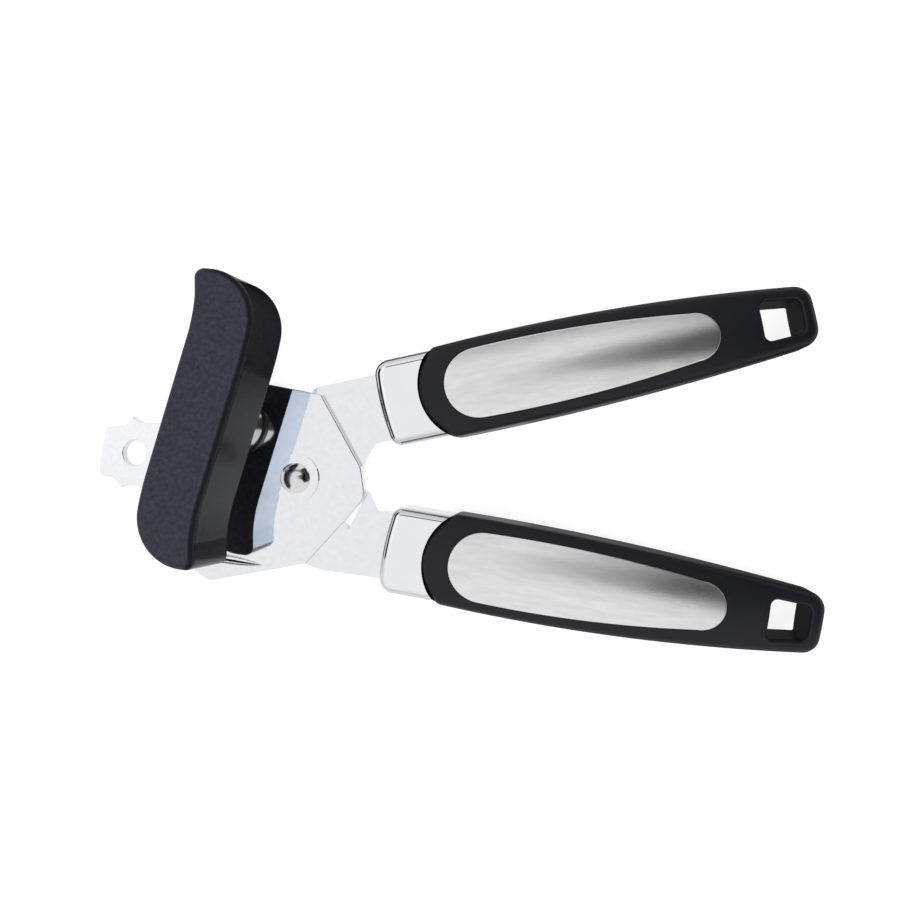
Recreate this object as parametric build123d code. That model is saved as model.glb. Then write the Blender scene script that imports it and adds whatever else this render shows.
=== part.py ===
from build123d import *
import os
from math import acos, atan2, cos, degrees, hypot, radians, sin

# Manual can opener of the plier type, lying on its back with the turning knob up.
# +X runs from the head to the handle ends, along the line that halves the angle
# between the two handles. +Z points from the back of the tool to the knob.
# While it is built, the pivot is at X = Y = 0 and the front face of the front
# plate is at Z = 0. All lengths are in millimetres, all angles in degrees.

# ---- sheet metal and running gaps ----
sheet = 2.0                   # thickness of both arm plates
plate_gap = 0.1               # between the two plates
sheet_edge = 0.3              # rounding of the head's front edge
run_gap = 0.1                 # axial gap at every turning face
hole_gap = 0.05               # radial gap of a pin or shaft in its hole
slot_gap = 0.1                # between a tang and the slot around it

# ---- arms ----
close_swing = 20.0            # upper arm, from rest to the cutter in the can
handle_tilt = 9.5             # handle axis from the middle line
grip_distance = 44.8          # from the pivot to the start of the grips, along X
grip_spread = 23.0            # of a handle's axis from the middle line, at that place
handle_start = (grip_distance, grip_spread)

# ---- head of the front plate: its corners from the upper left one, clockwise ----
head_top_left = (-25.4, 31.7)
head_top_right = (8.1, 24.1)
head_nose_upper = (19.8, 2.3)
head_nose_lower = (20.7, -5.6)
head_bottom = (-28.0, -30.3)
head_jaw = (-31.9, -27.6)
tab_neck_lower = (-58.9, 1.0)
tab_end_lower = (-63.9, 2.2)
tab_end_upper = (-61.2, 16.6)
tab_point_left = (-54.5, 16.9)
tab_point = (-51.9, 19.6)
tab_point_right = (-49.2, 17.6)
tab_neck_upper = (-40.4, 17.4)
head_nose_radius = 4.5
head_corner_radius = 1.5
tab_corner_radius = 1.2
slight_corner = 1.0           # where two edges meet at a small angle
tab_hole_radius = 3.9
tab_hole_centre = (-51.6, 8.5)
mouth_radius = 7.0            # bottle opener mouth
mouth_centre = (-53.3, -8.3)
claw_angle = 115.0            # where the mouth starts, at the claw
jaw_angle = -50.0             # where the mouth ends, at the lower jaw
groove_length = 24.0          # pressed groove that stiffens the lower edge
groove_depth = 1.4
groove_centre = (-22.5, -23.6)
groove_angle = -9.0

# ---- pivot ----
rivet_radius = 3.0
rivet_head_radius = 4.4
rivet_head_height = 2.2
rivet_head_rim = 0.4
rivet_back_radius = 4.6
rivet_back_height = 1.3
pivot_washer_radius = 7.1
pivot_washer_thickness = 0.5
pivot_boss_radius = 12.0      # of the rear plate around the pivot

# ---- drive: knob, shaft and feed wheel ----
drive_centre = (-17.4, 16.2)
shaft_radius = 3.0
shaft_square = 4.2            # square that carries the feed wheel
bushing_neck_radius = 4.2     # pressed into the front plate
bushing_radius = 5.2
bushing_length = 4.3          # behind the front plate
feed_radius = 6.6
feed_tooth_depth = 0.8
feed_teeth = 20
feed_thickness = 3.0
nut_across_flats = 8.0
nut_thickness = 3.15
nut_thread_radius = 2.0
thread_end_gap = 0.3          # the thread ends this far inside the nut
knob_washer_radius = 9.0
knob_washer_thickness = 0.8
hub_radius = 8.4
hub_thickness = 7.2
hub_edge = 0.6
knob_height = 17.2
knob_flare = 0.6              # the back of the knob is larger all round by this
knob_edge = 1.9
knob_tip_radius = 2.6
knob_tip = (0.9, 39.7)        # outline of one half, from the drive centre
knob_throat = (0.8, 32.5)
knob_flank = ((-1.6, 21.9), (-13.9, -13.3))     # both ends of the straight side
knob_hip = (-16.6, -22.6)
knob_foot = (-5.8, -39.0)
knob_shaft_depth = 11.0       # how far the shaft reaches into the knob

# ---- cutter ----
cutter_arm = 20.0             # from the pivot to the cutter axis
cutter_radius = 9.5
cutter_thickness = 1.2
cutter_bevel = 2.0
cutter_overlap = 0.3          # radial overlap with the feed wheel when closed
cutter_feed_gap = 0.4         # axial gap between the two wheels
cutter_journal_radius = 3.0
cutter_shoulder_radius = 4.0
cutter_neck_radius = 2.6      # riveted into the rear plate
cutter_head_radius = 4.2
cutter_head_height = 0.7
cutter_head_edge = 0.4
cutter_washer_radius = 5.0
cutter_washer_thickness = 0.4
cutter_lobe_radius = 6.5

# ---- roots of the arms; u and v as in the handle's own frame below ----
arm_shoulder = -38.0          # u where the upper arm widens into its boss
arm_shoulder_radius = 3.0
upper_crotch = (-26.05, -12.7)
upper_crotch_end = (-23.45, -9.85)
lower_crotch = (-26.65, -14.5)
lower_crotch_end = (-23.0, -9.15)
crotch_radius = 1.5
boss_upper_edge = (-7.0, 9.5)     # X and Y of the web between the boss and the arm
boss_lower_edge = (0.0, -8.0)
boss_crotch = (17.5, -1.0)

# ---- grips, in the handle's own frame: u along the handle, v across it ----
# Both start at the grip's start, on the handle's axis.
grip_length = 98.5
grip_start_half = 12.95
grip_end_half = 7.55
grip_start_centre = 0.25
grip_end_centre = 0.75
grip_outer_bow = 2.15         # bulge of the outer edge
grip_inner_bow = 1.4          # bulge of the inner edge
grip_end_skew = 0.2           # u of the end's two corners, from its middle
nose_tip = (-6.5, 3.6)        # u and v of the first end, which bulges over the collar
nose_outer_end = -1.0         # u of that bulge's ends
nose_inner_end = 0.8
grip_thickness = 18.4         # at its thickest place
grip_thickest = 28.0          # distance of that place from the grip's start
grip_bow_radius = 745.0       # lengthwise bow of the front and back faces
grip_crown_radius = 32.0      # crosswise crown of those faces
grip_edge = 2.4
grip_end_corner = 4.5
grip_start_corner = 3.0

# ---- collars between the tangs and the grips ----
collar_start = 18.6           # before the start of the grip
collar_half_width = 12.25
collar_thickness = 14.8
collar_edge = 3.1
collar_outer_corner = 4.4
collar_inner_corner = 3.2
collar_front_v = 1.0          # v of the collar's foremost place
collar_outer_lean = 0.4       # how far the two corners stand behind it
collar_inner_lean = 1.8
spigot_length = 4.0           # past the start of the grip
spigot_half_width = 8.5
spigot_half_thickness = 4.0

# ---- hanging windows ----
window_length = 10.05
window_end_wall = 3.6         # grip left beyond the window
window_start = grip_length - window_end_wall - window_length
window_end = window_start + window_length
window_outer = (6.5, 5.0)     # v of the outer side at both ends
window_inner = (-4.3, -3.7)   # v of the inner side at both ends
window_corner = 1.8
window_back_corner = 0.5      # the rear half of the window is squarer
window_rim = 0.7              # rounding of both rims

# ---- inlays ----
inlay_start = 0.75
inlay_end_gap = 10.65          # from the inlay to the window
inlay_end = window_start - inlay_end_gap
inlay_start_half = 9.75
inlay_end_half = 6.45
inlay_centre = 0.5
inlay_bow = 1.2
inlay_seat = 6.4              # flat seat, from the middle of the handle's thickness
inlay_proud = 0.25            # above the grip around it
inlay_gap = 0.12
inlay_edge = 0.35

# ---- tangs and their pins ----
tang_half_width = 9.75
tang_tail_half_width = 6.0
tang_end_gap = 18.6           # from the tang's end to the window
tang_end = window_start - tang_end_gap
tang_root_overlap = 2.0       # into the arm's root, before the collar
tang_shoulder = 4.0           # past the collar's start, where the tang narrows
tang_pin_radius = 1.6
tang_pin_inset = (14.0, 10.0)     # from the grip's start and from the tang's end
tang_pin_places = (tang_pin_inset[0], tang_end - tang_pin_inset[1])

# ---- levels, worked out from the sizes above ----
rear_plate_top = -sheet - plate_gap
rear_plate_back = rear_plate_top - sheet
handle_level = rear_plate_top - sheet / 2
bushing_back = -sheet - bushing_length
feed_top = bushing_back - run_gap
feed_back = feed_top - feed_thickness
nut_back = feed_back - nut_thickness
cutter_top = feed_back - cutter_feed_gap
cutter_back = cutter_top - cutter_thickness
cutter_washer_top = cutter_back - run_gap
cutter_washer_back = cutter_washer_top - cutter_washer_thickness
rivet_back_top = rear_plate_back - run_gap - pivot_washer_thickness
knob_washer_top = run_gap + knob_washer_thickness
knob_back = knob_washer_top + hub_thickness
knob_top = knob_back + knob_height
shaft_top = knob_back + knob_shaft_depth

# ---- cutter axis, set so that the wheels overlap when the handles are closed ----
drive_arm = hypot(*drive_centre)
drive_angle = degrees(atan2(drive_centre[1], drive_centre[0]))
closed_distance = feed_radius + cutter_radius - cutter_overlap
closed_angle = degrees(acos((drive_arm ** 2 + cutter_arm ** 2 - closed_distance ** 2)
                            / (2 * drive_arm * cutter_arm)))
cutter_angle = drive_angle + closed_angle + close_swing
cutter_centre = (cutter_arm * cos(radians(cutter_angle)),
                 cutter_arm * sin(radians(cutter_angle)))

# ---- folds that carry the lower tang back to the rear plate's level ----
shear_end = (14.0, -13.2)     # inner end of the free edge between head and tang
fold_front_end = (2.4, -25.0)
fold_back_start = (15.4, -14.6)
fold_back_end = (6.4, -27.1)

handle_place = Pos(*handle_start, 0) * Rot(0, 0, handle_tilt)


def slab(sketch, bottom, top):
    """A sketch on the XY plane made into a solid between two levels."""
    return extrude(Pos(0, 0, bottom) * sketch, amount=top - bottom)


def disc(radius, bottom, top, centre=(0, 0)):
    return slab(Pos(*centre) * Circle(radius), bottom, top)


def outline(points):
    """A face from (x, y, corner radius) points."""
    places = [(x, y) for x, y, corner in points]
    corners = [corner for x, y, corner in points]
    return make_face(FilletPolyline(*places, radius=corners, close=True))


def turned(points, centre):
    """A solid of revolution about a line along Z, from (radius, level) points."""
    profile = make_face(Plane.XZ * Polyline(*points, close=True))
    return Pos(*centre) * revolve(profile, Axis.Z)


def on_mouth(angle):
    return (mouth_centre[0] + mouth_radius * cos(radians(angle)),
            mouth_centre[1] + mouth_radius * sin(radians(angle)))


def in_handle(u, v):
    """A point of the upper handle's frame, as X and Y of the whole tool."""
    turn = radians(handle_tilt)
    return (handle_start[0] + u * cos(turn) - v * sin(turn),
            handle_start[1] + u * sin(turn) + v * cos(turn))


def lower(shape):
    """The mirror image of an upper handle piece."""
    return mirror(shape, Plane.XZ)


# ---------------------------------------------------------------- arm plates
def tang_outline(clearance=0.0):
    """The tang in the handle's frame, from the collar to its end in the grip."""
    wide = tang_half_width + clearance
    narrow = tang_tail_half_width + clearance
    start = -collar_start - tang_root_overlap
    end = tang_end + clearance
    neck_start = clearance - collar_start + tang_shoulder
    neck_end = neck_start + wide - narrow
    return outline([
        (start, wide, 0), (neck_start, wide, 0), (neck_end, narrow, 0),
        (end, narrow, slight_corner), (end, -narrow, slight_corner),
        (neck_end, -narrow, 0), (neck_start, -wide, 0), (start, -wide, 0)])


def tang(top):
    """A tang with its pin holes, in place for the upper arm."""
    flat = slab(tang_outline(), top - sheet, top)
    for place in tang_pin_places:
        flat -= disc(tang_pin_radius + hole_gap, top - sheet, top, (place, 0))
    return handle_place * flat


def front_plate():
    """Head, fold and lower tang: one piece of sheet."""
    claw = on_mouth(claw_angle)
    jaw = on_mouth(jaw_angle)
    head = outline([
        (*head_top_left, head_corner_radius), (*head_top_right, slight_corner),
        (*head_nose_upper, head_nose_radius), (*head_nose_lower, head_nose_radius),
        (*shear_end, 0), (*fold_front_end, 0),
        (*head_bottom, head_corner_radius), (*head_jaw, head_corner_radius),
        (*jaw, 0), (*claw, 0), (*tab_neck_lower, slight_corner),
        (*tab_end_lower, tab_corner_radius), (*tab_end_upper, tab_corner_radius),
        (*tab_point_left, 0), (*tab_point, 0), (*tab_point_right, tab_corner_radius),
        (*tab_neck_upper, slight_corner)])
    plate = slab(head, -sheet, 0)
    plate -= disc(mouth_radius, -sheet, 0, mouth_centre)
    plate -= disc(tab_hole_radius, -sheet, 0, tab_hole_centre)
    fold_middle = (Vector(*shear_end, 0) + Vector(*fold_front_end, 0)) / 2
    outline_edges = plate.edges().group_by(Axis.Z)[-1]
    plate = fillet(outline_edges.filter_by(lambda edge: (edge @ 0.5 - fold_middle).length > 1),
                   sheet_edge)
    plate = plate + groove(-sheet) - groove(0)
    plate -= disc(bushing_neck_radius, -sheet, 0, drive_centre)
    plate -= disc(rivet_radius + hole_gap, -sheet, 0)

    root = outline([
        (fold_back_start[0], -fold_back_start[1], 0), (*in_handle(*lower_crotch), 0),
        (*in_handle(*lower_crotch_end), crotch_radius),
        (*in_handle(-collar_start, -tang_half_width), 0),
        (*in_handle(-collar_start, tang_half_width), 0),
        (fold_back_end[0], -fold_back_end[1], 0)])
    arm = slab(root, rear_plate_back, rear_plate_top) + tang(rear_plate_top)

    front_section = make_face(Polyline(
        (*shear_end, 0), (*fold_front_end, 0),
        (*fold_front_end, -sheet), (*shear_end, -sheet), close=True))
    back_section = make_face(Polyline(
        (*fold_back_start, rear_plate_top), (*fold_back_end, rear_plate_top),
        (*fold_back_end, rear_plate_back), (*fold_back_start, rear_plate_back), close=True))
    fold = loft([front_section, back_section], ruled=True)

    return plate + fold + lower(arm)


def groove(level):
    """A slender spindle: it dents the plate's front and, one sheet lower, bulges its back."""
    half = groove_length / 2
    profile = make_face([
        ThreePointArc((-half, 0), (0, groove_depth), (half, 0)), Line((half, 0), (-half, 0))])
    spindle = Rot(0, 0, groove_angle) * revolve(profile, Axis.X)
    return Pos(*groove_centre, level) * spindle


def lobe_outline():
    """The pivot boss and the cutter lobe, joined by their outer tangents."""
    spread = degrees(acos((pivot_boss_radius - cutter_lobe_radius) / cutter_arm))
    sides = [radians(cutter_angle - spread), radians(cutter_angle + spread)]
    boss = [(pivot_boss_radius * cos(turn), pivot_boss_radius * sin(turn)) for turn in sides]
    lobe = [(cutter_centre[0] + cutter_lobe_radius * cos(turn),
             cutter_centre[1] + cutter_lobe_radius * sin(turn)) for turn in reversed(sides)]
    web = make_face(Polyline(*boss, *lobe, close=True))
    return Circle(pivot_boss_radius) + Pos(*cutter_centre) * Circle(cutter_lobe_radius) + web


def rear_plate():
    """The upper arm: tang, pivot boss and the lobe that carries the cutter."""
    root = outline([
        (*in_handle(arm_shoulder, tang_half_width), arm_shoulder_radius),
        (*boss_upper_edge, 0), (*boss_lower_edge, 0), (*boss_crotch, 0),
        (*in_handle(*upper_crotch), slight_corner),
        (*in_handle(*upper_crotch_end), crotch_radius),
        (*in_handle(-collar_start, -tang_half_width), 0),
        (*in_handle(-collar_start, tang_half_width), 0)])
    plate = slab(root, rear_plate_back, rear_plate_top)
    plate += slab(lobe_outline(), rear_plate_back, rear_plate_top)
    plate += tang(rear_plate_top)
    plate -= disc(rivet_radius + hole_gap, rear_plate_back, rear_plate_top)
    return plate - disc(cutter_neck_radius, rear_plate_back, rear_plate_top, cutter_centre)


# ---------------------------------------------------------------- pivot
def dome(radius, height, bottom):
    """A low cap of a ball that stands on a level."""
    ball = (radius ** 2 + height ** 2) / (2 * height)
    centre = Pos(0, 0, bottom + height - ball)
    return centre * Sphere(ball) & disc(radius, bottom, bottom + height)


def pivot_rivet():
    """Domed front head, plain shank and flat peened back."""
    front = pivot_washer_thickness
    head = disc(rivet_head_radius, front, front + rivet_head_rim)
    head += dome(rivet_head_radius, rivet_head_height - rivet_head_rim, front + rivet_head_rim)
    shank = disc(rivet_radius, rivet_back_top, front)
    back = disc(rivet_back_radius, rivet_back_top - rivet_back_height, rivet_back_top)
    back = chamfer(back.edges().group_by(Axis.Z)[0], rivet_back_height / 3)
    return head + shank + back


def ring(outer, inner, bottom, top, centre=(0, 0)):
    return disc(outer, bottom, top, centre) - disc(inner, bottom, top, centre)


# ---------------------------------------------------------------- drive
def drive_bushing():
    """A flanged sleeve pressed into the front plate, with the shaft's bore."""
    sleeve = disc(bushing_neck_radius, -sheet, 0, drive_centre)
    sleeve += disc(bushing_radius, bushing_back, -sheet, drive_centre)
    return sleeve - disc(shaft_radius + hole_gap, bushing_back, 0, drive_centre)


def drive_shaft():
    """Round in the bushing, square in the wheel and the knob, threaded at the back."""
    round_part = disc(shaft_radius, feed_top, knob_back, drive_centre)
    square = slab(Pos(*drive_centre) * Rectangle(shaft_square, shaft_square),
                  feed_back, shaft_top)
    thread = disc(nut_thread_radius, nut_back + thread_end_gap, feed_back, drive_centre)
    return round_part + square + thread


def feed_wheel():
    """Toothed wheel that grips under the can's rim."""
    step = 360 / feed_teeth
    root_radius = feed_radius - feed_tooth_depth
    corners = []
    for tooth in range(feed_teeth):
        for share, radius in ((0.0, root_radius), (0.3, feed_radius), (0.5, feed_radius),
                              (0.8, root_radius)):
            angle = radians((tooth + share) * step)
            corners.append((radius * cos(angle), radius * sin(angle)))
    wheel = slab(make_face(Polyline(*corners, close=True)), feed_back, feed_top)
    wheel -= slab(Rectangle(shaft_square, shaft_square), feed_back, feed_top)
    return Pos(*drive_centre) * wheel


def drive_nut():
    """Hexagon nut that holds the feed wheel on the shaft."""
    hexagon = RegularPolygon(nut_across_flats / 2, 6, major_radius=False)
    nut = slab(hexagon, nut_back, feed_back) - disc(nut_thread_radius, nut_back, feed_back)
    return Pos(*drive_centre) * nut


def knob_outline(growth=0.0):
    """S-shaped bar, the same after half a turn about the shaft."""
    tip = Vector(knob_tip) + Vector(-1, 1) * growth
    throat, upper, lower, hip = [Vector(place) - Vector(growth, 0)
                                 for place in (knob_throat, *knob_flank, knob_hip)]
    foot = Vector(knob_foot) - Vector(0.2, 1.0) * growth
    neck_arc = TangentArc(upper, throat, tangent=upper - lower)
    hip_arc = TangentArc(lower, hip, tangent=lower - upper)
    heel_arc = TangentArc(hip, foot, tangent=hip_arc % 1)
    half = [Line(tip, throat), neck_arc, Line(upper, lower), hip_arc, heel_arc, Line(foot, -tip)]
    face = make_face(half + [Rot(0, 0, 180) * edge for edge in half])
    tips = face.vertices().filter_by(lambda v: abs(abs(v.Y) - tip.Y) < 1e-6)
    return fillet(tips, knob_tip_radius)


def knob():
    """Moulded turning bar, a little larger at the back than at the front."""
    back = Pos(0, 0, knob_back) * knob_outline(knob_flare)
    front = Pos(0, 0, knob_top) * knob_outline()
    bar = loft([back, front])
    bar = fillet(bar.faces().sort_by(Axis.Z)[-1].edges(), knob_edge)
    bar -= slab(Rectangle(shaft_square, shaft_square), knob_back, shaft_top)
    return Pos(*drive_centre) * bar


def knob_hub():
    """Steel cup between the knob and its washer, round the shaft."""
    cup = disc(hub_radius, knob_washer_top, knob_back, drive_centre)
    cup = fillet(cup.edges().group_by(Axis.Z)[0], hub_edge)
    return cup - disc(shaft_radius, knob_washer_top, knob_back, drive_centre)


# ---------------------------------------------------------------- cutter
def cutter_wheel():
    """Disc sharpened from both sides."""
    middle = (cutter_top + cutter_back) / 2
    bore = cutter_journal_radius + hole_gap
    flat = cutter_radius - cutter_bevel
    return turned([(bore, cutter_top), (flat, cutter_top), (cutter_radius, middle),
                   (flat, cutter_back), (bore, cutter_back)], cutter_centre)


def cutter_pin():
    """Shouldered pin, riveted into the rear plate."""
    shoulder_back = cutter_top + run_gap
    pin = disc(cutter_neck_radius, rear_plate_back, rear_plate_top, cutter_centre)
    pin += disc(cutter_shoulder_radius, shoulder_back, rear_plate_back, cutter_centre)
    pin += disc(cutter_journal_radius, cutter_washer_back, shoulder_back, cutter_centre)
    head = disc(cutter_head_radius, cutter_washer_back - cutter_head_height,
                cutter_washer_back, cutter_centre)
    return pin + fillet(head.edges().group_by(Axis.Z)[0], cutter_head_edge)


# ---------------------------------------------------------------- handles
def nose_arc():
    """The first end of the grip, which bulges over the collar."""
    outer = (nose_outer_end, grip_start_centre + grip_start_half)
    inner = (nose_inner_end, grip_start_centre - grip_start_half)
    return ThreePointArc(inner, nose_tip, outer)


def grip_outline():
    nose = nose_arc()
    inner_start = nose @ 0
    outer_start = nose @ 1
    outer_end = Vector(grip_length - grip_end_skew, grip_end_centre + grip_end_half)
    inner_end = Vector(grip_length + grip_end_skew, grip_end_centre - grip_end_half)
    outer_middle = (outer_start + outer_end) / 2 + Vector(0, grip_outer_bow)
    inner_middle = (inner_start + inner_end) / 2 - Vector(0, grip_inner_bow)
    face = make_face([
        nose, ThreePointArc(outer_start, outer_middle, outer_end), Line(outer_end, inner_end),
        ThreePointArc(inner_end, inner_middle, inner_start)])
    corners = face.vertices().sort_by(Axis.X)
    face = fillet(corners[2:], grip_end_corner)
    return fillet(face.vertices().sort_by(Axis.X)[:2], grip_start_corner)


def crowned(inset):
    """All that lies between the crowned front and back faces, set in by a depth.

    Each face is part of the rim of a large wheel that turns about a line along v.
    """
    reach = 1.5 * grip_start_half
    half = grip_thickness / 2 - inset
    drop = reach ** 2 / (2 * (grip_crown_radius - inset))
    rim = grip_bow_radius - inset
    depth = 3 * grip_thickness
    profile = make_face([
        Bezier((-reach, rim - drop), (0, rim + drop), (reach, rim - drop)),
        Line((reach, rim - drop), (reach, rim - depth)),
        Line((reach, rim - depth), (-reach, rim - depth)),
        Line((-reach, rim - depth), (-reach, rim - drop))])
    wheel = Rot(0, 180, 0) * revolve(Plane.YZ * profile, Axis.Y)
    centre = (grip_thickest, inlay_centre)
    front = Pos(*centre, handle_level + half - rim) * wheel
    back = Pos(*centre, handle_level - half + rim) * wheel
    return front & back


def inlay_outline(clearance=0.0):
    start = inlay_start + inlay_start_half
    end = inlay_end - inlay_end_half
    middle = (start + end) / 2
    bulge = (inlay_start_half + inlay_end_half) / 2 + inlay_bow
    corners = [(start, inlay_start_half), (end, inlay_end_half)]
    face = make_face([
        ThreePointArc(corners[0], (middle, bulge), corners[1]),
        ThreePointArc(corners[1], (inlay_end, 0), (end, -inlay_end_half)),
        ThreePointArc((end, -inlay_end_half), (middle, -bulge), (start, -inlay_start_half)),
        ThreePointArc((start, -inlay_start_half), (inlay_start, 0), corners[0])])
    face = Pos(0, inlay_centre) * face
    return offset(face, -clearance) if clearance else face


def inlay(side):
    """A crowned steel plate on the front (side 1) or the back (side -1) of a grip."""
    seat = handle_level + side * inlay_seat
    top = handle_level + side * grip_thickness
    block = slab(inlay_outline(inlay_gap), min(seat, top), max(seat, top))
    plate = block & crowned(-inlay_proud)
    outer_face = plate.faces().sort_by(Axis.Z)[-1 if side > 0 else 0]
    return handle_place * fillet(outer_face.edges(), inlay_edge)


def grip():
    """Moulded handle with recesses for the inlays and a window to hang it by."""
    high = handle_level + grip_thickness
    low = handle_level - grip_thickness
    body = slab(grip_outline(), low, high) & crowned(0)
    faces = body.faces().sort_by(Axis.Z)
    body = fillet(faces[-1].edges() + faces[0].edges(), grip_edge)
    body -= slab(inlay_outline(), handle_level + inlay_seat, high)
    body -= slab(inlay_outline(), low, handle_level - inlay_seat)
    body -= slab(window_outline(window_corner), handle_level, high)
    body -= slab(window_outline(window_back_corner), low, handle_level)
    body = fillet(body.edges().filter_by(on_window_rim), window_rim)
    body -= slab(tang_outline(slot_gap), handle_level - sheet / 2 - slot_gap,
                 handle_level + sheet / 2 + slot_gap)
    body -= spigot(slot_gap)
    for place in tang_pin_places:
        body -= disc(tang_pin_radius + hole_gap, low, high, (place, 0))
    return handle_place * body


def window_outline(corner):
    return outline([
        (window_start, window_inner[0], corner), (window_start, window_outer[0], corner),
        (window_end, window_outer[1], corner), (window_end, window_inner[1], corner)])


def on_window_rim(edge):
    place = edge @ 0.5
    along = window_start - window_rim < place.X < window_end + window_rim
    across = abs(place.Y) < window_outer[0] + window_rim
    return along and across and abs(place.Z - handle_level) > grip_thickness / 4


def spigot(clearance=0.0):
    """The block behind the collar that plugs into the grip."""
    start = -collar_start / 2
    end = spigot_length + clearance
    half = spigot_half_thickness + clearance
    block = Pos((start + end) / 2, grip_start_centre) * Rectangle(
        end - start, 2 * (spigot_half_width + clearance))
    return slab(block, handle_level - half, handle_level + half)


def collar():
    """Polished sleeve over the tang, with a spigot that plugs into the grip."""
    outer = grip_start_centre + collar_half_width
    inner = grip_start_centre - collar_half_width
    end = grip_start_half
    front_edge = ThreePointArc(
        (collar_inner_lean - collar_start, inner), (-collar_start, collar_front_v),
        (collar_outer_lean - collar_start, outer))
    face = make_face([
        front_edge, Line(front_edge @ 1, (end, outer)), Line((end, outer), (end, inner)),
        Line((end, inner), front_edge @ 0)])
    first = face.vertices().sort_by(Axis.X)[:2].sort_by(Axis.Y)
    face = fillet(first[1], collar_outer_corner)
    first = face.vertices().sort_by(Axis.X)[:4].sort_by(Axis.Y)
    face = fillet(first[0], collar_inner_corner)
    half = collar_thickness / 2
    body = slab(face, handle_level - half, handle_level + half)
    body = fillet(body.faces().sort_by(Axis.Z)[-1].edges() + body.faces().sort_by(Axis.Z)[0].edges(),
                  collar_edge)
    nose = nose_arc()
    body -= slab(Pos(*nose.arc_center) * Circle(nose.radius), handle_level - half,
                 handle_level + half)
    body += spigot()
    body -= slab(tang_outline(slot_gap), handle_level - sheet / 2 - slot_gap,
                 handle_level + sheet / 2 + slot_gap)
    return handle_place * body


def tang_pins():
    """Two pins that hold a grip on its tang, hidden under the inlays."""
    half = inlay_seat - run_gap
    return [handle_place * disc(tang_pin_radius, handle_level - half, handle_level + half,
                                (place, 0)) for place in tang_pin_places]


def build():
    """All nodes by name, placed in the frame of the pivot."""
    washer_hole = rivet_radius + hole_gap
    back_washer_top = rear_plate_back - run_gap
    nodes = {
        "front_plate": front_plate(),
        "rear_plate": rear_plate(),
        "pivot_rivet": pivot_rivet(),
        "pivot_washer": ring(pivot_washer_radius, washer_hole, 0, pivot_washer_thickness),
        "pivot_back_washer": ring(pivot_washer_radius, washer_hole, rivet_back_top,
                                  back_washer_top),
        "drive_bushing": drive_bushing(),
        "drive_shaft": drive_shaft(),
        "feed_wheel": feed_wheel(),
        "drive_nut": drive_nut(),
        "knob": knob(),
        "knob_hub": knob_hub(),
        "knob_washer": ring(knob_washer_radius, shaft_radius + hole_gap, run_gap,
                            knob_washer_top, drive_centre),
        "cutter_wheel": cutter_wheel(),
        "cutter_pin": cutter_pin(),
        "cutter_washer": ring(cutter_washer_radius, cutter_journal_radius + hole_gap,
                              cutter_washer_back, cutter_washer_top, cutter_centre),
    }
    handle_pieces = {
        "grip": [grip()],
        "collar": [collar()],
        "front_inlay": [inlay(1)],
        "rear_inlay": [inlay(-1)],
        "tang_pins": tang_pins(),
    }
    for name, solids in handle_pieces.items():
        nodes["upper_" + name] = Compound(solids) if len(solids) > 1 else solids[0]
        mirrored = [lower(solid) for solid in solids]
        nodes["lower_" + name] = Compound(mirrored) if len(mirrored) > 1 else mirrored[0]
    return nodes


nodes = build()
box = Compound(list(nodes.values())).bounding_box()
shift = Pos(-box.center().X, -box.center().Y, -box.min.Z)
os.makedirs("parts", exist_ok=True)
for name, shape in nodes.items():
    export_step(shift * shape, "parts/" + name + ".step")
print("origin moved by", shift.position)
print("cutter axis", cutter_centre, "at angle", cutter_angle)
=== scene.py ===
"""Dress a manual can opener: finishes, a plain stage and a camera.

The frame that is loaded here gives every piece its place. All lengths are in metres.
"""

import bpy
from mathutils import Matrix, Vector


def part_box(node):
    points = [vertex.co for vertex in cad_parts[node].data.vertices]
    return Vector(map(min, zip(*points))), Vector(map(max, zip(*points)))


bl_info = {
    "name": "Can opener",
    "version": (1, 0, 0),
    "blender": (4, 5, 0),
    "location": "View3D > Sidebar > Can opener",
    "description": "Finishes and stage for a hand can opener with two hinged handles",
    "category": "Object",
}

import math

import bpy
from bpy.props import FloatProperty, FloatVectorProperty, PointerProperty
from mathutils import Matrix, Vector

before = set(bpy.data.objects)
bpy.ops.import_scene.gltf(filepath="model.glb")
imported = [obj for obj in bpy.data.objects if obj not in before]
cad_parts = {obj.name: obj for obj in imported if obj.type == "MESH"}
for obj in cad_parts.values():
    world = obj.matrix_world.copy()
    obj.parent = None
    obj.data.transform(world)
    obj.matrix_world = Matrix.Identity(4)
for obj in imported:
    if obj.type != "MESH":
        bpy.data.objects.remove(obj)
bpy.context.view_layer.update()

SIDES = {"upper": 1.0, "lower": -1.0}      # each handle and the side of the middle line it is on
MM = 0.001
MICRON = 0.001 * MM
WHITE = (1.0, 1.0, 1.0, 1.0)


# ---------------------------------------------------------------- properties
def colour_property(name, description, default):
    return FloatVectorProperty(name=name, description=description, default=default,
                               subtype="COLOR", size=3, min=0.0, max=1.0)


def length_property(name, description, default):
    return FloatProperty(name=name, description=description, default=default,
                         subtype="DISTANCE", unit="LENGTH", min=0.0, precision=5)


def angle_property(name, description, degrees):
    return FloatProperty(name=name, description=description, default=math.radians(degrees),
                         subtype="ANGLE", unit="ROTATION")


def place_property(name, description, default):
    return FloatVectorProperty(name=name, description=description, default=default,
                               subtype="TRANSLATION", unit="LENGTH", precision=5)


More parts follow.
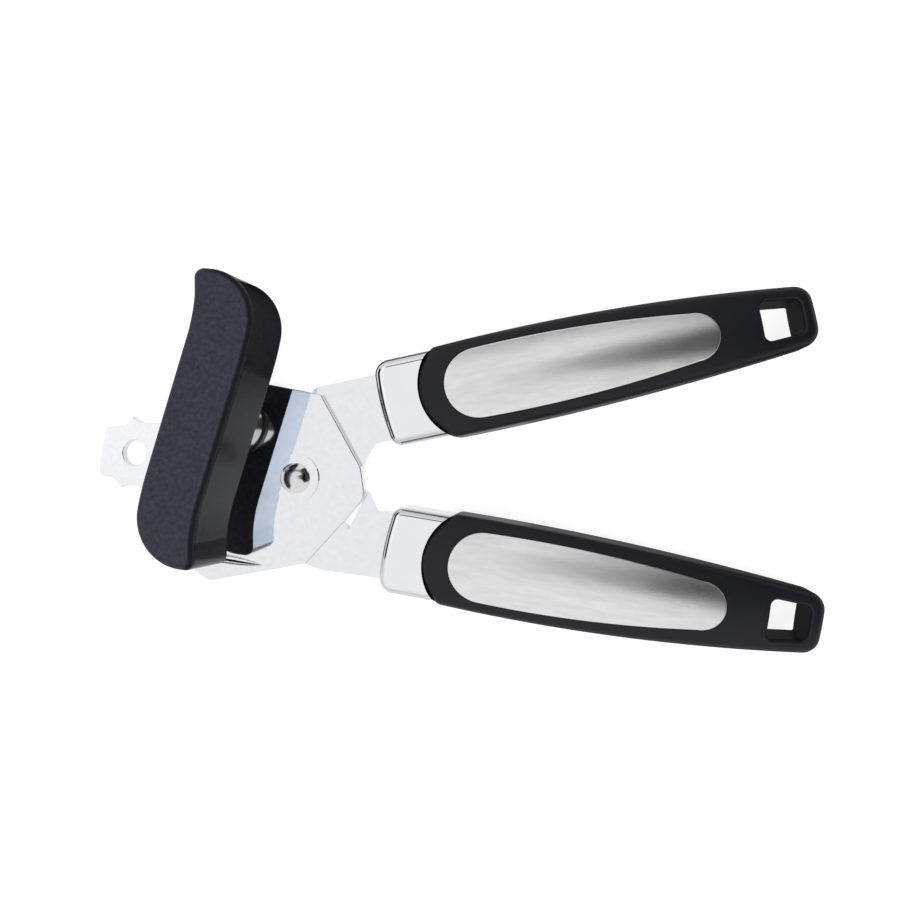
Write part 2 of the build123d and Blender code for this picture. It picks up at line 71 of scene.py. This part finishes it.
class CanOpenerColours(bpy.types.PropertyGroup):
    """Colours of the finishes and the floor"""
    sheet: colour_property("Sheet steel", "Polished arm plates", (0.795, 0.812, 0.838))
    chrome: colour_property("Chrome", "Collars between the arms and the grips", (0.80, 0.815, 0.84))
    inlay: colour_property("Inlay steel", "Brushed plates in the grips", (0.74, 0.74, 0.745))
    turned: colour_property("Turned steel", "Rivet, bushing, shaft and nut", (0.70, 0.70, 0.70))
    hard: colour_property("Hard steel", "Feed wheel and cutting disc", (0.52, 0.53, 0.55))
    dull: colour_property("Dull steel", "Cup under the knob", (0.62, 0.63, 0.66))
    grip: colour_property("Grip plastic", "Moulded handles", (0.0048, 0.0051, 0.0090))
    knob: colour_property("Knob plastic", "Moulded turning knob", (0.0095, 0.0098, 0.0125))
    knob_speck: colour_property("Knob specks", "Violet specks of the knob's grain",
                                (0.0240, 0.0219, 0.0385))
    washer: colour_property("Washer", "Ring under the knob", (0.006, 0.006, 0.006))
    floor: colour_property("Floor", "Surface that the tool lies on", (0.34, 0.34, 0.34))


class CanOpenerSizes(bpy.types.PropertyGroup):
    """Sizes of the finishes, the stage and the camera"""
    handle_tilt: angle_property("Handle tilt", "Angle between a handle and the middle line", 9.5)
    inlay_lean: angle_property("Inlay lean", "Slope of the inlays' crown at their middle", 2.2)
    polish_angle: angle_property("Polish angle", "Angle of the hairlines on the plates", 38.0)
    brush_length: length_property("Brush length", "Length of the brush lines", 30 * MM)
    brush_width: length_property("Brush width", "Width of the brush lines", 0.22 * MM)
    grip_grain: length_property("Grip grain", "Size of the grain on the grips", 0.35 * MM)
    knob_grain: length_property("Knob grain", "Size of the grain on the knob", 0.50 * MM)
    floor_size: length_property("Floor size", "Side of the square floor", 6.0)
    ceiling: length_property("Ceiling", "Height of the two cards overhead", 0.55)
    camera_place: place_property("Camera place", "From the pivot on the face of the front plate",
                                 (0.07788, 0.00421, 0.18400))
    camera_target: place_property("Camera target", "The point it looks at, from the same pivot",
                                  (0.048082, 0.004834, 0.0))
    camera_roll: angle_property("Camera roll", "Turn about the camera's line of sight", 1.2)
    camera_lens: FloatProperty(name="Camera lens", description="Focal length in millimetres",
                               default=26.14, min=1.0, unit="CAMERA")


def colours():
    return bpy.context.scene.can_opener_colours


def sizes():
    return bpy.context.scene.can_opener_sizes


# ---------------------------------------------------------------- finishes
MIX_FACTOR, MIX_FIRST, MIX_SECOND, MIX_RESULT = 0, 6, 7, 2      # a Mix node's colour sockets


class Finish:
    """A material in the making: one Principled shader and textures in the tool's own space."""

    def __init__(self, name, colour, roughness, metallic=0.0):
        self.material = bpy.data.materials.new(name)
        self.material.use_nodes = True
        self.tree = self.material.node_tree
        self.shader = self.tree.nodes["Principled BSDF"]
        self.colour = tuple(colour)
        self.set("Base Color", (*colour, 1.0))
        self.set("Roughness", roughness)
        self.set("Metallic", metallic)
        places = self.tree.nodes.new("ShaderNodeTexCoord")
        self.place = places.outputs["Object"]
        self.facing = places.outputs["Normal"]

    def set(self, socket, value):
        self.shader.inputs[socket].default_value = value

    def node(self, kind, links, **settings):
        made = self.tree.nodes.new(kind)
        for name, value in settings.items():
            setattr(made, name, value)
        for socket, source in links.items():
            if isinstance(source, bpy.types.NodeSocket):
                self.tree.links.new(source, made.inputs[socket])
            else:
                made.inputs[socket].default_value = source
        return made

    def link(self, value, socket):
        self.tree.links.new(value, self.shader.inputs[socket])

    def calculate(self, operation, *values):
        node = self.node("ShaderNodeMath", dict(enumerate(values)), operation=operation)
        return node.outputs[0]

    def along(self, vector, axis):
        """The part of a vector along one axis."""
        return self.node("ShaderNodeSeparateXYZ", {"Vector": vector}).outputs[axis]

    def noise(self, size, detail=2.0, stretch=(1.0, 1.0, 1.0), turn=0.0):
        """Noise whose spots are about size wide, and longer along an axis with stretch below 1."""
        turned = self.node("ShaderNodeMapping", {"Vector": self.place, "Rotation": (0, 0, -turn)})
        place = self.node("ShaderNodeMapping",
                          {"Vector": turned.outputs["Vector"], "Scale": stretch})
        spots = self.node("ShaderNodeTexNoise", {
            "Vector": place.outputs["Vector"], "Scale": 1.0 / size, "Detail": detail})
        return spots.outputs["Fac"]

    def span(self, value, low, high, start=0.3, end=0.7):
        """From low to high while the value goes from start to end."""
        spread = self.node("ShaderNodeMapRange", {
            "Value": value, "From Min": start, "From Max": end, "To Min": low, "To Max": high})
        return spread.outputs["Result"]

    def vary_roughness(self, value, low, high):
        self.link(self.span(value, low, high), "Roughness")

    def vary_colour(self, value, low, high):
        """Shade the colour between two factors of its own value."""
        dark = tuple(channel * low for channel in self.colour)
        light = tuple(min(1.0, channel * high) for channel in self.colour)
        self.blend_colours(value, dark, light)

    def blend_colours(self, value, first, second):
        self.mix_colours(self.span(value, 0.0, 1.0), (*first, 1.0), (*second, 1.0))

    def darken(self, mask, factor):
        """Multiply the colour by a factor where the mask is 1."""
        colour = self.shader.inputs["Base Color"].links[0].from_socket
        self.mix_colours(mask, colour, (factor, factor, factor, 1.0), blend_type="MULTIPLY")

    def mix_colours(self, factor, first, second, **settings):
        links = {MIX_FACTOR: factor, MIX_FIRST: first, MIX_SECOND: second}
        mix = self.node("ShaderNodeMix", links, data_type="RGBA", **settings)
        self.link(mix.outputs[MIX_RESULT], "Base Color")

    def upright(self, start=0.3, end=0.6):
        """1 on faces that stand upright, such as the sheared edges of a plate, otherwise 0."""
        level = self.calculate("ABSOLUTE", self.along(self.facing, "Z"))
        return self.span(level, 1.0, 0.0, start, end)

    def bump(self, *layers):
        """Stack (height, depth in metres) layers on the shader's normal."""
        normal = None
        for height, depth in layers:
            links = {"Height": height, "Distance": depth, "Strength": 1.0}
            if normal:
                links["Normal"] = normal
            normal = self.node("ShaderNodeBump", links).outputs["Normal"]
        self.link(normal, "Normal")


def polished_sheet():
    finish = Finish("polished_sheet", colours().sheet, 0.05, metallic=1.0)
    cloud = finish.noise(18 * MM, detail=3.0)
    mottle = finish.noise(1.6 * MM, detail=4.0)
    hairline = finish.noise(0.35 * MM, stretch=(0.02, 1.0, 1.0), turn=sizes().polish_angle)
    finish.vary_colour(mottle, 0.97, 1.02)
    # Painted shade: the upright faces, such as the sheared edges, are darkened.
    finish.darken(finish.upright(), 0.85)
    finish.vary_roughness(hairline, 0.03, 0.08)
    finish.bump((cloud, 10 * MICRON), (mottle, 0.6 * MICRON), (hairline, 0.4 * MICRON))
    return finish.material


def chrome():
    """Chrome with painted shade on the upright walls and the roundings above them."""
    finish = Finish("chrome", colours().chrome, 0.04, metallic=1.0)
    cloud = finish.noise(10 * MM)
    haze = finish.noise(1.2 * MM, detail=3.0)
    finish.vary_colour(cloud, 0.98, 1.01)
    # Painted shade on the upright walls and roundings, standing in for the darker floor that they
    # mirror.
    finish.darken(finish.upright(start=0.82, end=0.95), 0.70)
    finish.vary_roughness(haze, 0.025, 0.060)
    finish.bump((cloud, 8 * MICRON))
    return finish.material


def brushed_steel(name, side):
    """Steel brushed along the handle; the crest of its crown is beyond the plate's middle."""
    turn = side * sizes().handle_tilt
    finish = Finish(name, colours().inlay, 0.30, metallic=1.0)
    run = sizes().brush_width / sizes().brush_length
    line = finish.noise(sizes().brush_width, detail=3.0, stretch=(run, 1.0, 1.0), turn=turn)
    streak = finish.noise(1.6 * MM, detail=4.0, stretch=(0.22, 1.0, 1.0), turn=turn)
    cloud = finish.noise(11 * MM, detail=3.0, stretch=(0.35, 1.0, 1.0), turn=turn)
    finish.vary_colour(streak, 0.93, 1.05)
    finish.vary_roughness(cloud, 0.24, 0.34)
    across = finish.along(finish.place, "Y")
    lean = side * math.tan(sizes().inlay_lean)
    finish.bump((across, lean), (line, 2 * MICRON), (streak, 8 * MICRON), (cloud, 20 * MICRON))
    return finish.material


def turned_steel():
    finish = Finish("turned_steel", colours().turned, 0.16, metallic=1.0)
    spot = finish.noise(1.1 * MM, detail=3.0)
    finish.vary_colour(spot, 0.93, 1.04)
    finish.vary_roughness(spot, 0.10, 0.24)
    finish.bump((spot, 4 * MICRON))
    return finish.material


def hard_steel():
    finish = Finish("hard_steel", colours().hard, 0.28, metallic=1.0)
    spot = finish.noise(0.8 * MM, detail=4.0)
    finish.vary_colour(spot, 0.88, 1.08)
    finish.vary_roughness(spot, 0.20, 0.36)
    finish.bump((spot, 6 * MICRON))
    return finish.material


def dull_steel():
    """Steel with turning marks round its axis."""
    finish = Finish("dull_steel", colours().dull, 0.30, metallic=1.0)
    turn_line = finish.noise(0.5 * MM, stretch=(0.02, 0.02, 1.0))
    finish.vary_colour(turn_line, 0.90, 1.06)
    finish.vary_roughness(turn_line, 0.14, 0.24)
    finish.bump((turn_line, 4 * MICRON))
    return finish.material


def grip_plastic():
    finish = Finish("grip_plastic", colours().grip, 0.60)
    finish.set("Specular IOR Level", 0.28)
    grain = finish.noise(sizes().grip_grain)
    cloud = finish.noise(20 * MM, detail=3.0)
    finish.vary_colour(cloud, 0.80, 1.25)
    finish.vary_roughness(cloud, 0.42, 0.52)
    finish.bump((grain, 12 * MICRON))
    return finish.material


def knob_plastic():
    """Spark-eroded grain: rough on the front, smoother on the wall; painted shade darkens the wall
    and the right rounding.
    """
    front_roughness = 0.60
    wall_roughness = 0.22
    rim_roughness = 0.35                   # added to the roughness beneath
    speck_size = 2.2 * sizes().knob_grain
    finish = Finish("knob_plastic", colours().knob, 0.48)
    finish.set("Specular IOR Level", 0.25)
    grain = finish.noise(sizes().knob_grain, detail=3.0)
    speck = finish.noise(speck_size, detail=4.0)
    finish.blend_colours(speck, colours().knob_speck, colours().knob)
    wall = finish.upright(start=0.25, end=0.60)
    rounding = finish.calculate("SUBTRACT", finish.upright(start=0.86, end=0.99), wall)
    right = finish.span(finish.along(finish.facing, "X"), 0.0, 1.0, start=0.0, end=0.2)
    rim = finish.calculate("MULTIPLY", rounding, right)
    # Painted shade: the right rounding is darkened to a fifth, the wall to a half.
    finish.darken(rim, 0.2)
    finish.darken(wall, 0.5)
    level = finish.span(wall, front_roughness, wall_roughness, start=0.0, end=1.0)
    finish.link(finish.calculate("MULTIPLY_ADD", rim, rim_roughness, level), "Roughness")
    finish.bump((speck, 30 * MICRON), (grain, 30 * MICRON))
    return finish.material


def washer_plastic():
    finish = Finish("washer_plastic", colours().washer, 0.35)
    spot = finish.noise(0.9 * MM)
    finish.vary_colour(spot, 0.8, 1.2)
    finish.vary_roughness(spot, 0.28, 0.42)
    finish.bump((spot, 6 * MICRON))
    return finish.material


def dress(material, *nodes):
    """Give the material to parts of the frame."""
    for name in nodes:
        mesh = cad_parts[name].data
        mesh.materials.clear()
        mesh.materials.append(material)


# ---------------------------------------------------------------- operators
class CANOPENER_OT_plates(bpy.types.Operator):
    """Polish the two arm plates and the washers of their pivot"""
    bl_idname = "can_opener.plates"
    bl_label = "Arm plates"

    def execute(self, context):
        dress(polished_sheet(), "front_plate", "rear_plate", "pivot_washer",
              "pivot_back_washer")
        return {"FINISHED"}


class CANOPENER_OT_pivot_and_drive(bpy.types.Operator):
    """Finish the rivet, the pins, the drive, both wheels and the rings under the knob"""
    bl_idname = "can_opener.pivot_and_drive"
    bl_label = "Pivot and drive"

    def execute(self, context):
        dress(turned_steel(), "pivot_rivet", "drive_bushing", "drive_shaft", "drive_nut",
              "cutter_pin", "cutter_washer", "upper_tang_pins", "lower_tang_pins")
        dress(hard_steel(), "feed_wheel", "cutter_wheel")
        dress(dull_steel(), "knob_hub")
        dress(washer_plastic(), "knob_washer")
        return {"FINISHED"}


class CANOPENER_OT_collars(bpy.types.Operator):
    """Chrome the collars"""
    bl_idname = "can_opener.collars"
    bl_label = "Collars"

    def execute(self, context):
        dress(chrome(), "upper_collar", "lower_collar")
        return {"FINISHED"}


class CANOPENER_OT_grips(bpy.types.Operator):
    """Give the grips their satin black plastic"""
    bl_idname = "can_opener.grips"
    bl_label = "Grips"

    def execute(self, context):
        dress(grip_plastic(), "upper_grip", "lower_grip")
        return {"FINISHED"}


class CANOPENER_OT_inlays(bpy.types.Operator):
    """Brush the steel inlays along their handles"""
    bl_idname = "can_opener.inlays"
    bl_label = "Inlays"

    def execute(self, context):
        for side, sign in SIDES.items():
            finish = brushed_steel(side + "_brushed_steel", sign)
            dress(finish, side + "_front_inlay", side + "_rear_inlay")
        return {"FINISHED"}


class CANOPENER_OT_knob(bpy.types.Operator):
    """Give the turning knob its grained black plastic"""
    bl_idname = "can_opener.knob"
    bl_label = "Knob"

    def execute(self, context):
        dress(knob_plastic(), "knob")
        return {"FINISHED"}


# ---------------------------------------------------------------- stage
def seen_directly(tree):
    """1 for rays from the camera, from gloss and through glass, otherwise 0."""
    path = tree.nodes.new("ShaderNodeLightPath")
    total = path.outputs["Is Camera Ray"]
    for name in ("Is Glossy Ray", "Is Transmission Ray"):
        larger = tree.nodes.new("ShaderNodeMath")
        larger.operation = "MAXIMUM"
        tree.links.new(total, larger.inputs[0])
        tree.links.new(path.outputs[name], larger.inputs[1])
        total = larger.outputs[0]
    return total


def two_levels(tree, lighting, seen):
    """One level for the light that is given off, another for what is seen directly."""
    level = tree.nodes.new("ShaderNodeMapRange")
    level.inputs["To Min"].default_value = lighting
    level.inputs["To Max"].default_value = seen
    tree.links.new(seen_directly(tree), level.inputs["Value"])
    return level.outputs["Result"]


def white_world():
    world = bpy.data.worlds.new("studio")
    world.use_nodes = True
    bpy.context.scene.world = world
    tree = world.node_tree
    background = tree.nodes["Background"]
    background.inputs["Color"].default_value = WHITE
    tree.links.new(two_levels(tree, lighting=0.55, seen=1.0), background.inputs["Strength"])


def glowing(name, colour):
    """A matt material that glows white, and its shader."""
    material = bpy.data.materials.new(name)
    material.use_nodes = True
    shader = material.node_tree.nodes["Principled BSDF"]
    shader.inputs["Base Color"].default_value = (*colour, 1.0)
    shader.inputs["Roughness"].default_value = 1.0
    shader.inputs["Specular IOR Level"].default_value = 0.0
    shader.inputs["Emission Color"].default_value = WHITE
    return material, shader


def flat_piece(name, corners, faces, material):
    mesh = bpy.data.meshes.new(name)
    mesh.from_pydata(corners, [], faces)
    mesh.materials.append(material)
    piece = bpy.data.objects.new(name, mesh)
    bpy.context.collection.objects.link(piece)
    return piece


def rectangle(left, right, bottom, top, level):
    """The corners of a level rectangle, and its one face."""
    corners = [(left, bottom, level), (right, bottom, level), (right, top, level),
               (left, top, level)]
    return corners, [(0, 1, 2, 3)]


def pale_floor():
    half = sizes().floor_size / 2
    corners, faces = rectangle(-half, half, -half, half, level=0.0)
    material, shader = glowing("floor", colours().floor)
    tree = material.node_tree
    tree.links.new(two_levels(tree, lighting=0.0, seen=0.82), shader.inputs["Emission Strength"])
    floor = flat_piece("floor", corners, faces, material)


def ramp(tree, value, start, end, low, high):
    """From low at start to high at end, eased at both."""
    eased = tree.nodes.new("ShaderNodeMapRange")
    eased.interpolation_type = "SMOOTHSTEP"
    for socket, number in (("From Min", start), ("From Max", end),
                           ("To Min", low), ("To Max", high)):
        eased.inputs[socket].default_value = number
    tree.links.new(value, eased.inputs["Value"])
    return eased.outputs["Result"]


def shade_card(name, corners, faces, axis, start, end, low, high):
    """A card that only gloss sees; its glow goes from low at start to high at end."""
    material, shader = glowing(name, (0.0, 0.0, 0.0))
    tree = material.node_tree
    place = tree.nodes.new("ShaderNodeTexCoord")
    split = tree.nodes.new("ShaderNodeSeparateXYZ")
    tree.links.new(place.outputs["Object"], split.inputs["Vector"])
    glow = ramp(tree, split.outputs[axis], start, end, low, high)
    tree.links.new(glow, shader.inputs["Emission Strength"])
    card = flat_piece(name, corners, faces, material)
    for ray in ("camera", "diffuse", "shadow", "transmission", "volume_scatter"):
        setattr(card, "visible_" + ray, False)


def ceiling_card():
    """A dark shape overhead that widens towards the handle ends."""
    edge = [(-0.07, 0.03), (0.0, 0.0), (0.08, -0.04), (0.16, -0.075), (0.28, -0.105),
            (0.42, -0.35), (0.80, -0.40), (0.80, 0.50), (0.36, 0.45), (0.28, 0.19),
            (0.16, 0.15), (0.06, 0.12), (-0.02, 0.08)]
    corners = [(x, y, sizes().ceiling) for x, y in edge]
    shade_card("ceiling_card", corners, [tuple(range(len(edge)))], "X",
               start=edge[0][0], end=0.24, low=0.80, high=0.0)


def bright_card():
    """A brighter stretch of ceiling over the head end."""
    corners, faces = rectangle(-0.80, -0.33, -0.40, 0.40, sizes().ceiling)
    shade_card("bright_card", corners, faces, "Y", start=-0.12, end=0.04, low=1.0, high=1.13)


def side_card():
    """A dark band beyond the handle ends that thins out round the upper side."""
    radius = 0.60
    turns = range(-25, 130, 5)                       # degrees round the tool's middle
    lowest, highest, top = 12.0, 46.0, 55.0          # degrees above the floor
    climb_start, climb = 55.0, 1.7                   # where the lower edge climbs, and how fast
    corners = []
    for turn in turns:
        bottom = min(highest, max(lowest, lowest + climb * (turn - climb_start)))
        around = math.radians(turn)
        corners += [(radius * math.cos(around), radius * math.sin(around),
                     radius * math.tan(math.radians(angle))) for angle in (bottom, top)]
    faces = [(2 * step, 2 * step + 2, 2 * step + 3, 2 * step + 1)
             for step in range(len(turns) - 1)]
    shade_card("side_card", corners, faces, "Z", start=0.10, end=0.86, low=0.02, high=0.12)


def floor_shade(name, left, right, bottom, top, glow_left, glow_right):
    """Shade on the floor, as gloss sees it."""
    corners, faces = rectangle(left, right, bottom, top, level=0.4 * MM)
    shade_card(name, corners, faces, "X", left, right, glow_left, glow_right)


def floor_shades():
    """Shade beside the upper half of the knob and round the handle ends."""
    margin = 30 * MM
    low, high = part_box("knob")
    middle = (low[0] + high[0]) / 2
    floor_shade("knob_shade", left=middle, right=high[0] + 50 * MM,
                bottom=high[1] - 34 * MM, top=high[1] + margin, glow_left=0.0, glow_right=0.30)
    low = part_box("lower_grip")[0]
    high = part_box("upper_grip")[1]
    floor_shade("handle_shade", left=low[0] + margin, right=high[0] + margin,
                bottom=low[1] - margin, top=high[1] + margin, glow_left=0.60, glow_right=0.0)


def soft_lamp(name, place, target, size, power):
    light = bpy.data.lights.new(name, "AREA")
    light.shape = "SQUARE"
    light.size = size
    light.energy = power
    lamp = bpy.data.objects.new(name, light)
    bpy.context.collection.objects.link(lamp)
    lamp.location = place
    lamp.rotation_mode = "QUATERNION"
    lamp.rotation_quaternion = (Vector(target) - Vector(place)).to_track_quat("-Z", "Y")
    return lamp


def key_lamp():
    """The main lamp; steel doesn't mirror it."""
    lamp = soft_lamp("key", (0.26, -0.22, 0.85), target=(0.0, 0.0, 0.0), size=0.60, power=4.5)
    lamp.visible_glossy = False


def knob_lamp():
    """A bluish lamp over the knob that lights nothing else."""
    low, high = [Vector(corner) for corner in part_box("knob")]
    middle = (low + high) / 2
    offset = Vector((0.21, -0.06, 0.45))
    lamp = soft_lamp("knob_lamp", middle + offset, target=middle, size=0.28, power=1.7)
    lamp.data.color = (0.74, 0.85, 1.0)
    lit = bpy.data.collections.new("knob_only")
    lit.objects.link(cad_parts["knob"])
    lamp.light_linking.receiver_collection = lit


def pivot():
    """The pivot's place on the face of the front plate."""
    low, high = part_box("pivot_washer")
    return Vector(((low[0] + high[0]) / 2, (low[1] + high[1]) / 2, low[2]))


def make_camera():
    camera = bpy.data.objects.new("camera", bpy.data.cameras.new("camera"))
    bpy.context.collection.objects.link(camera)
    camera.data.sensor_width = 36.0
    camera.data.lens = sizes().camera_lens
    camera.data.clip_start = 0.01
    camera.data.clip_end = 20.0
    place = Vector(sizes().camera_place)
    forward = (Vector(sizes().camera_target) - place).normalized()
    roll = sizes().camera_roll
    right = forward.cross(Vector((math.sin(roll), math.cos(roll), 0.0))).normalized()
    up = right.cross(forward)
    turn = Matrix((right, up, -forward)).transposed().to_4x4()
    camera.matrix_world = Matrix.Translation(pivot() + place) @ turn
    bpy.context.scene.camera = camera


class CANOPENER_OT_stage(bpy.types.Operator):
    """Add the floor, the soft light and the camera"""
    bl_idname = "can_opener.stage"
    bl_label = "Stage"

    def execute(self, context):
        context.scene.view_settings.view_transform = "Standard"
        white_world()
        pale_floor()
        ceiling_card()
        bright_card()
        side_card()
        floor_shades()
        key_lamp()
        knob_lamp()
        make_camera()
        return {"FINISHED"}


class CANOPENER_PT_sidebar(bpy.types.Panel):
    """Every piece of the can opener"""
    bl_label = "Can opener"
    bl_idname = "CANOPENER_PT_sidebar"
    bl_space_type = "VIEW_3D"
    bl_region_type = "UI"
    bl_category = "Can opener"

    def draw(self, context):
        layout = self.layout
        for group in (context.scene.can_opener_sizes, context.scene.can_opener_colours):
            column = layout.column(align=True)
            for name in group.__annotations__:
                column.prop(group, name)
        for operator in OPERATORS:
            layout.operator(operator.bl_idname)


OPERATORS = (CANOPENER_OT_plates, CANOPENER_OT_pivot_and_drive, CANOPENER_OT_collars,
             CANOPENER_OT_grips, CANOPENER_OT_inlays, CANOPENER_OT_knob, CANOPENER_OT_stage)
CLASSES = (CanOpenerColours, CanOpenerSizes, *OPERATORS, CANOPENER_PT_sidebar)


def register():
    for made in CLASSES:
        bpy.utils.register_class(made)
    bpy.types.Scene.can_opener_colours = PointerProperty(type=CanOpenerColours)
    bpy.types.Scene.can_opener_sizes = PointerProperty(type=CanOpenerSizes)


def unregister():
    del bpy.types.Scene.can_opener_sizes
    del bpy.types.Scene.can_opener_colours
    for made in reversed(CLASSES):
        bpy.utils.unregister_class(made)


def main():
    register()
    bpy.ops.can_opener.plates()
    bpy.ops.can_opener.pivot_and_drive()
    bpy.ops.can_opener.collars()
    bpy.ops.can_opener.grips()
    bpy.ops.can_opener.inlays()
    bpy.ops.can_opener.knob()
    bpy.ops.can_opener.stage()


if __name__ == "__main__":
    main()
